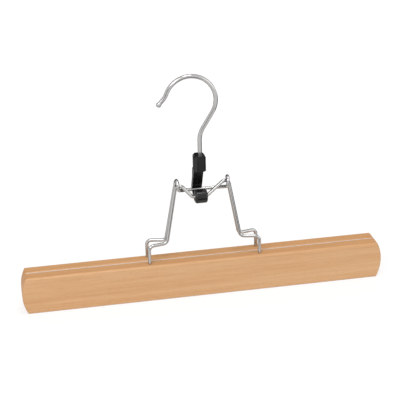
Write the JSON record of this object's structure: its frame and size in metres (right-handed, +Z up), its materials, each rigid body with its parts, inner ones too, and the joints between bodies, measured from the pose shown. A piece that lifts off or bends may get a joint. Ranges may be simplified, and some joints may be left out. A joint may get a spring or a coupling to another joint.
{
  "type": "clamp trouser hanger",
  "caption": "Wooden clamp hanger for trousers: felt-lined bars on bent wire frames, held shut by a tilting lever, with a swivelling ball-tipped hook.",
  "frame": {"origin": "under the middle of the closed jaws, level with the foot of the bars", "axes": "+X along the bars to the viewer's right, +Y from the front jaw to the rear jaw, +Z up to the hook"},
  "size_m": [0.35, 0.0264, 0.2182],
  "materials": {
    "wood": "satin",
    "felt": "matte",
    "wire": "polished",
    "lever": "satin"
  },
  "bodies": {
    "rear_jaw": {"rear_bar": "wood", "rear_felt": "felt", "rear_wire_frame": "wire"},
    "front_jaw": {"front_bar": "wood", "front_felt": "felt", "front_wire_frame": "wire"},
    "lever": {"lock_lever": "lever"},
    "hook": {"hook": "wire"}
  },
  "joints": [
    {"name": "jaw_open", "type": "hinge", "parent": "rear_jaw", "child": "front_jaw", "pos_m": [0, -0.00165, 0.11235], "axis": [-1, 0, 0], "range_deg": [0, 10]},
    {"name": "lever_tilt", "type": "hinge", "parent": "front_jaw", "child": "lever", "pos_m": [-0.0022, -0.0052, 0.1005], "axis": [-1, 0, 0], "range_deg": [0, 80]},
    {"name": "hook_swivel", "type": "hinge", "parent": "lever", "child": "hook", "pos_m": [-0.0013, 0, 0.141], "axis": [0, 0, 1], "continuous": true}
  ],
  "couplings": [
    {"joint": "jaw_open", "follows": "lever_tilt", "ratio": 0.125}
  ]
}
